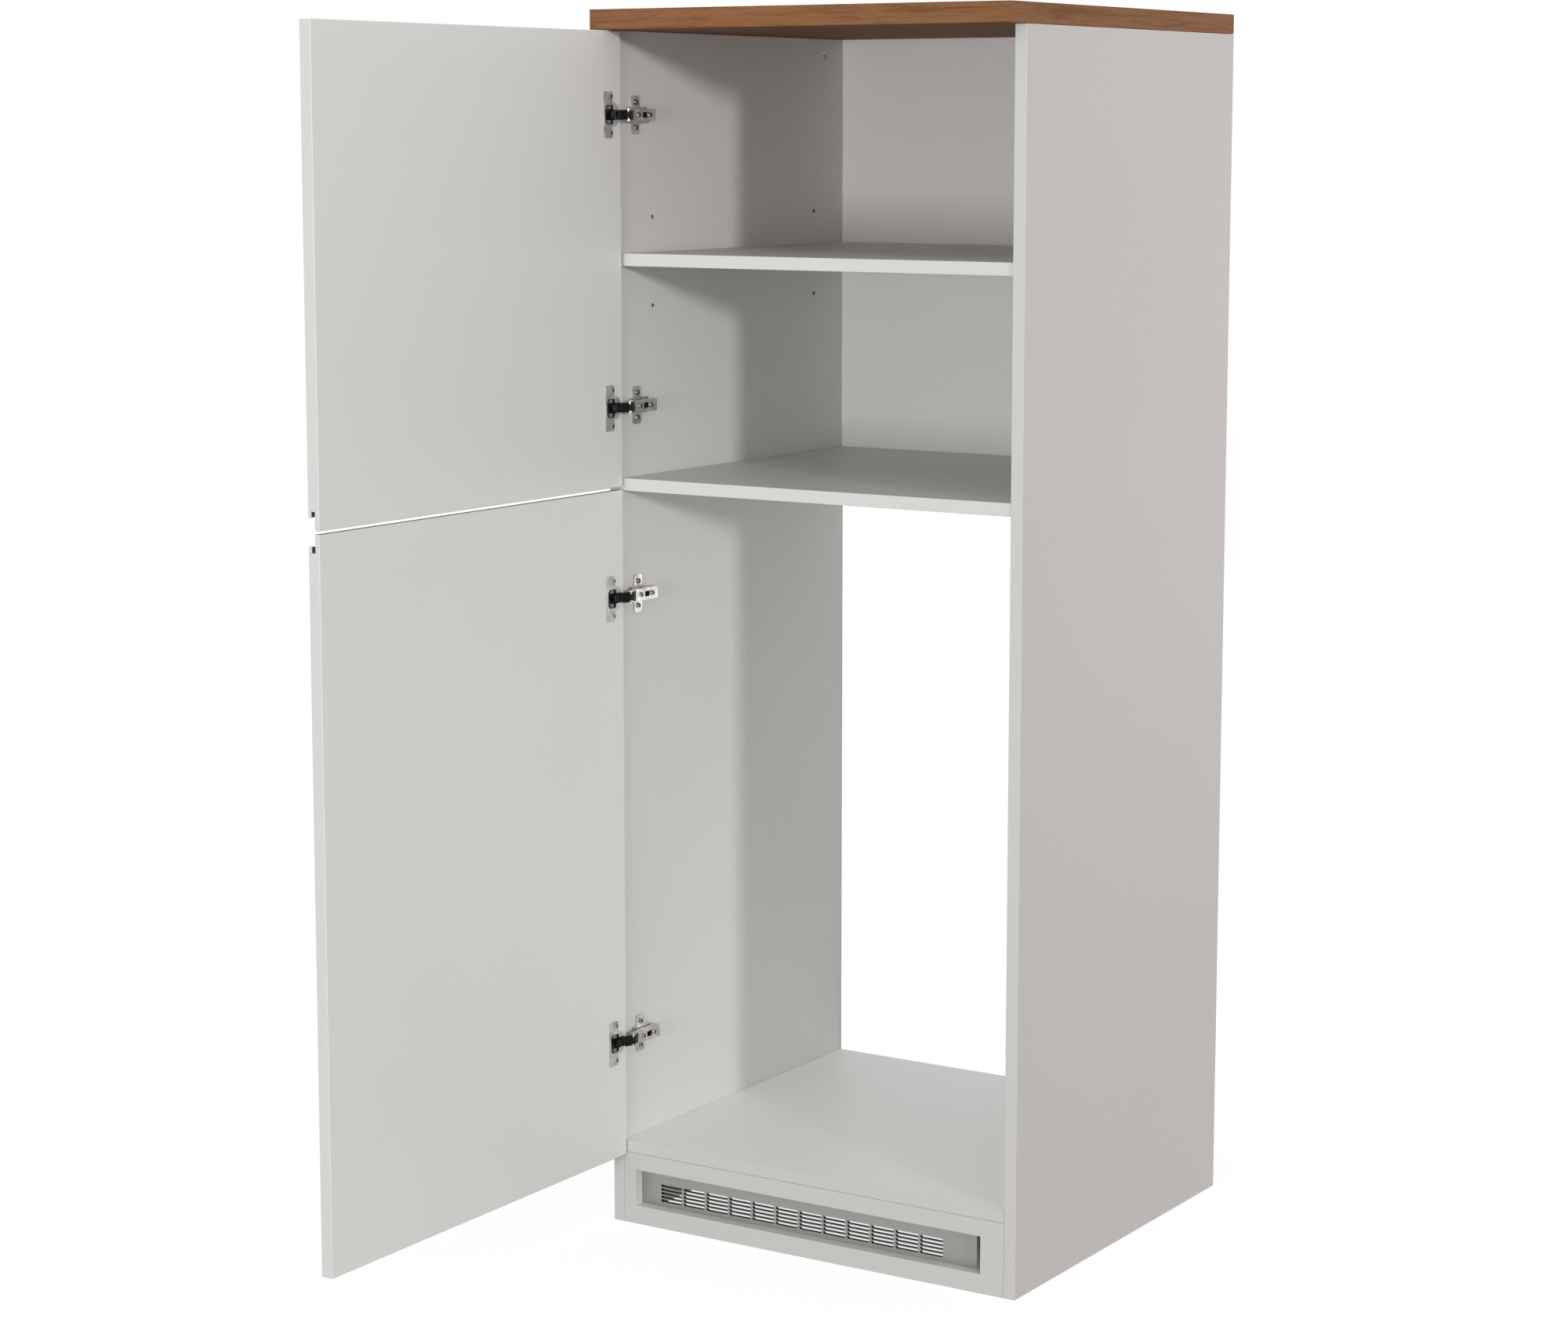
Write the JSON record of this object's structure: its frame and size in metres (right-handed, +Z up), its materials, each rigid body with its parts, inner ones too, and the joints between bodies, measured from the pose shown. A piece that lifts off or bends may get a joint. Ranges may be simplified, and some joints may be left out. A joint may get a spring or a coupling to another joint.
{
  "type": "tall kitchen cabinet with two hinged doors",
  "caption": "Tall kitchen cabinet, open appliance niche below, shelved storage above, concealed-hinge doors standing open, wood-look top board, slotted vent in the plinth.",
  "frame": {"origin": "on the floor, at the middle of the cabinet's width, in the plane of the carcass front", "axes": "+Z up, +Y from the carcass front to the back, +X to the right as the viewer faces the open front; the doors are stored open at ninety degrees, towards -Y, and close by turning about +Z"},
  "size_m": [0.6, 1.16, 1.57],
  "materials": {
    "white_board": "satin",
    "walnut_board": "satin",
    "grille_plate": "satin",
    "hinge_steel": "satin",
    "dark_link": "satin"
  },
  "bodies": {
    "carcass": {"side_panel_left": "white_board", "side_panel_right": "white_board", "top_board": "walnut_board", "upper_shelf": "white_board", "middle_shelf": "white_board", "floor_panel": "white_board", "back_panel": "white_board", "plinth_board": "white_board", "vent_grille": "grille_plate", "cam_left": "hinge_steel", "cam_right": "hinge_steel", "pin_front_left": "hinge_steel", "pin_front_right": "hinge_steel", "pin_rear_left": "hinge_steel", "pin_rear_right": "hinge_steel", "upper_top_arm": "hinge_steel", "upper_top_mounting_plate": "hinge_steel", "upper_top_plate_screw_lower": "hinge_steel", "upper_top_plate_screw_upper": "hinge_steel", "upper_top_adjuster": "hinge_steel", "upper_top_clamp_screw": "hinge_steel", "upper_bottom_arm": "hinge_steel", "upper_bottom_mounting_plate": "hinge_steel", "upper_bottom_plate_screw_lower": "hinge_steel", "upper_bottom_plate_screw_upper": "hinge_steel", "upper_bottom_adjuster": "hinge_steel", "upper_bottom_clamp_screw": "hinge_steel", "lower_top_arm": "hinge_steel", "lower_top_mounting_plate": "hinge_steel", "lower_top_plate_screw_lower": "hinge_steel", "lower_top_plate_screw_upper": "hinge_steel", "lower_top_adjuster": "hinge_steel", "lower_top_clamp_screw": "hinge_steel", "lower_bottom_arm": "hinge_steel", "lower_bottom_mounting_plate": "hinge_steel", "lower_bottom_plate_screw_lower": "hinge_steel", "lower_bottom_plate_screw_upper": "hinge_steel", "lower_bottom_adjuster": "hinge_steel", "lower_bottom_clamp_screw": "hinge_steel"},
    "upper_outer_links": {"upper_top_outer_link": "dark_link", "upper_bottom_outer_link": "dark_link"},
    "upper_inner_links": {"upper_top_inner_link": "dark_link", "upper_bottom_inner_link": "dark_link"},
    "upper_door": {"door_upper": "white_board", "upper_top_cup": "hinge_steel", "upper_bottom_cup": "hinge_steel"},
    "lower_outer_links": {"lower_top_outer_link": "dark_link", "lower_bottom_outer_link": "dark_link"},
    "lower_inner_links": {"lower_top_inner_link": "dark_link", "lower_bottom_inner_link": "dark_link"},
    "lower_door": {"door_lower": "white_board", "lower_top_cup": "hinge_steel", "lower_bottom_cup": "hinge_steel"}
  },
  "joints": [
    {"name": "upper_outer_link_swing", "type": "hinge", "parent": "carcass", "child": "upper_outer_links", "pos_m": [-0.27181, 0.00849, 1.25725], "axis": [0, 0, 1], "range_deg": [-32, 0]},
    {"name": "upper_inner_link_swing", "type": "hinge", "parent": "carcass", "child": "upper_inner_links", "pos_m": [-0.266, -0.003, 1.25725], "axis": [0, 0, 1], "range_deg": [-40.5, 0]},
    {"name": "upper_door_swing", "type": "hinge", "parent": "upper_outer_links", "child": "upper_door", "pos_m": [-0.28, -0.012, 1.25725], "axis": [0, 0, 1], "range_deg": [0, 121.5]},
    {"name": "lower_outer_link_swing", "type": "hinge", "parent": "carcass", "child": "lower_outer_links", "pos_m": [-0.27181, 0.00849, 0.5299], "axis": [0, 0, 1], "range_deg": [-32, 0]},
    {"name": "lower_inner_link_swing", "type": "hinge", "parent": "carcass", "child": "lower_inner_links", "pos_m": [-0.266, -0.003, 0.5299], "axis": [0, 0, 1], "range_deg": [-40.5, 0]},
    {"name": "lower_door_swing", "type": "hinge", "parent": "lower_outer_links", "child": "lower_door", "pos_m": [-0.28, -0.012, 0.5299], "axis": [0, 0, 1], "range_deg": [0, 121.5]}
  ],
  "couplings": [
    {"joint": "upper_outer_link_swing", "follows": "upper_door_swing", "ratio": -0.25926},
    {"joint": "upper_inner_link_swing", "follows": "upper_door_swing", "ratio": -0.32963},
    {"joint": "lower_outer_link_swing", "follows": "lower_door_swing", "ratio": -0.25926},
    {"joint": "lower_inner_link_swing", "follows": "lower_door_swing", "ratio": -0.32963}
  ]
}
